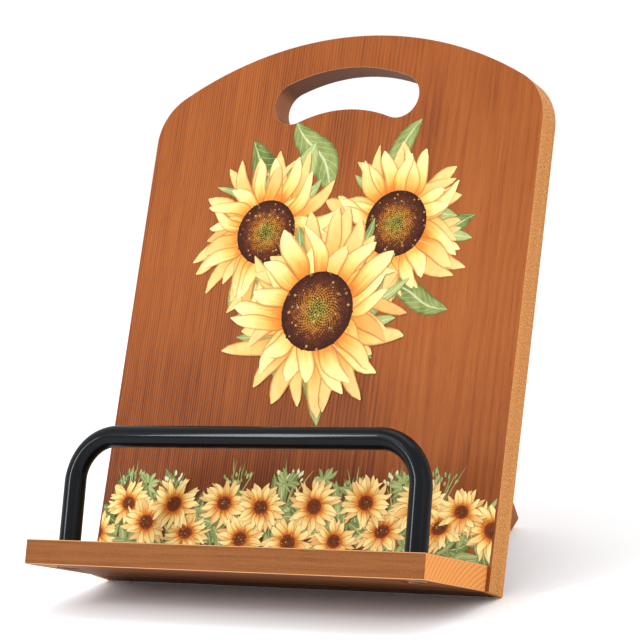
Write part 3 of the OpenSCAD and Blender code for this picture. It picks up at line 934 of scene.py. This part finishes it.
sheets = []
for count in range(borderPiece["foliage"]):  # a bed of leaves behind the flowers
    x = strewn(borderPiece["foliageHalf"], count, borderPiece["foliage"])
    y = chooser.uniform(8, borderPiece["foliageTop"] - 16)
    length, width = chooser.uniform(*borderPiece["leafLength"]), chooser.uniform(*borderPiece["leafWidth"])
    lean = chooser.uniform(-borderPiece["leafLean"], borderPiece["leafLean"])
    leaf(sheets, x * mm, y * mm, length * mm, width * mm, lean, count % 24 * 0.5, 200 + count,
         chooser.choice(leafInks), steps=7)
for count in range(borderPiece["sprigs"]):  # thin sprigs that stand above it
    x = strewn(borderPiece["sprigHalf"], count, borderPiece["sprigs"])
    top = chooser.uniform(*borderPiece["sprigLength"])
    sweep = borderPiece["sprigSweep"]
    petals(sheets, spotOn(x * mm, borderPiece["sprigFoot"] * mm, 8), "paleLeaf", borderPiece["stems"], 0.0,
           top * mm, borderPiece["stemWidth"] * mm, 400 + count,
           sweep=sweep, first=-sweep / 2, uneven=0.3, bend=0.2, steps=7)
    petals(sheets, spotOn(x * mm, borderPiece["sprigFoot"] * mm, 13), ("paleLeaf", "bloom")[count % 2],
           borderPiece["blossoms"], top * borderPiece["blossomsFrom"] * mm, borderPiece["blossomLength"] * mm,
           borderPiece["blossomWidth"] * mm, 420 + count,
           sweep=sweep, first=-sweep / 2, uneven=0.35, bend=0.1, steps=4)
for count in range(borderPiece["buds"]):  # green buds not yet open
    x = strewn(borderPiece["budHalf"], count, borderPiece["buds"])
    y = chooser.uniform(*borderPiece["budHeight"])
    petals(sheets, spotOn(x * mm, (y - borderPiece["budStalk"]) * mm, 14), "leaf", borderPiece["stalks"], 0.0,
           borderPiece["stalkLength"] * mm, borderPiece["stalkWidth"] * mm, 440 + count,
           sweep=0.2, first=-0.1, bend=0.1, steps=6)
    petals(sheets, spotOn(x * mm, y * mm, 15), "paleLeaf", borderPiece["budPetals"], 1 * mm,
           borderPiece["budLength"] * mm, borderPiece["budWidth"] * mm, 450 + count, uneven=0.4, steps=6)
for count in range(borderPiece["flowers"]):
    x = borderPiece["firstFlower"] + borderPiece["step"] * (count / 2) + chooser.uniform(-4, 4)
    y = (borderPiece["lowRow"], borderPiece["highRow"])[count % 2] + chooser.uniform(-5, 5)
    reach = chooser.uniform(*borderPiece["reach"])
    level = borderPiece["flowersFrom"] + (count % 4) * flowerLevels
    turn = chooser.uniform(-0.5, 0.5)
    squash = (1.0, chooser.uniform(0.70, 1.0))
    flower(sheets, x * mm, y * mm, reach * mm, level, 100 + count, smallFlower, turn, squash)
printed(sheets, "borderPrint")
print("border done")


# floor, light and camera

floorLook = {"size": 60.0, "colour": (0.95, 0.95, 0.95), "cloudy": (0.93, 0.93, 0.93), "specular": 0.2}
floorMesh = bpy.data.meshes.new("floor")
half = floorLook["size"] / 2
corners = [(-half, -half, 0), (half, -half, 0), (half, half, 0), (-half, half, 0)]
floorMesh.from_pydata(corners, [], [(0, 1, 2, 3)])
floor = bpy.data.objects.new("floor", floorMesh)
bpy.context.scene.collection.objects.link(floor)
floorMaterial, start, shader = newMaterial("paleFloor", Specular_IOR_Level=floorLook["specular"])
cloud = start.make("ShaderNodeTexCoord", None, None, "Object").noise((4, 4, 4), 3)
floorColour = (cloud * 0.3).colour(floorLook["colour"], floorLook["cloudy"])
finishWith(start, shader, floorColour, 0.7 + cloud * 0.1)
floorMesh.materials.append(floorMaterial)

middle = (cadBox[0] + cadBox[1]) / 2
lights = {  # where it stands from the stand's middle, its width and height, its power and colour
    "keyLight": ((-0.75, -1.25, 1.25), 0.8, 0.8, 5.5, (1.0, 0.985, 0.96)),
    "topLight": ((0.1, 0.25, 1.35), 1.1, 0.7, 4, (0.90, 0.95, 1.0)),
    "fillLight": ((1.5, -0.6, 0.7), 1.0, 1.0, 1.5, (1.0, 1.0, 1.0)),
    "stripLight": ((-0.876, -1.25, 0.745), 0.26, 0.65, 14, (0.90, 0.95, 1.0)),
}
for name, (offset, width, height, power, colour) in lights.items():
    lamp = bpy.data.lights.new(name, "AREA")
    lamp.shape, lamp.size, lamp.size_y, lamp.energy, lamp.color = "RECTANGLE", width, height, power, colour
    stand = bpy.data.objects.new(name, lamp)
    stand.location = middle + Vector(offset)
    stand.rotation_euler = (-Vector(offset)).to_track_quat("-Z", "Y").to_euler()
    bpy.context.scene.collection.objects.link(stand)

worldLook = {"colour": (1.0, 1.0, 1.0), "strength": 1.08}
world = bpy.data.worlds.new("studio")
world.use_nodes = True
background = world.node_tree.nodes["Background"]
background.inputs["Color"].default_value = (*worldLook["colour"], 1)
background.inputs["Strength"].default_value = worldLook["strength"]
bpy.context.scene.world = world
bpy.context.scene.view_settings.view_transform = "Standard"

cameraLook = {
    "azimuth": 31.6, "elevation": 7.2, "roll": -5.56, "distance": 1.300, "lens": 142.8, "sensor": 36,
    "aim": (0.0201, -0.0203, -0.0014),
}
azimuth, elevation, roll = (math.radians(cameraLook[key]) for key in ("azimuth", "elevation", "roll"))
forward = Vector((-math.sin(azimuth) * math.cos(elevation), math.cos(azimuth) * math.cos(elevation),
                  -math.sin(elevation)))
level = Vector((math.cos(azimuth), math.sin(azimuth), 0))
right = level * math.cos(roll) + level.cross(forward) * math.sin(roll)
cameraData = bpy.data.cameras.new("camera")
cameraData.lens, cameraData.sensor_width = cameraLook["lens"], cameraLook["sensor"]
camera = bpy.data.objects.new("camera", cameraData)
cameraSpot = Matrix.Translation(middle + Vector(cameraLook["aim"]) - forward * cameraLook["distance"])
camera.matrix_world = cameraSpot @ Matrix((right, right.cross(forward), -forward)).transposed().to_4x4()
bpy.context.scene.collection.objects.link(camera)
bpy.context.scene.camera = camera
print("floor, light and camera done")
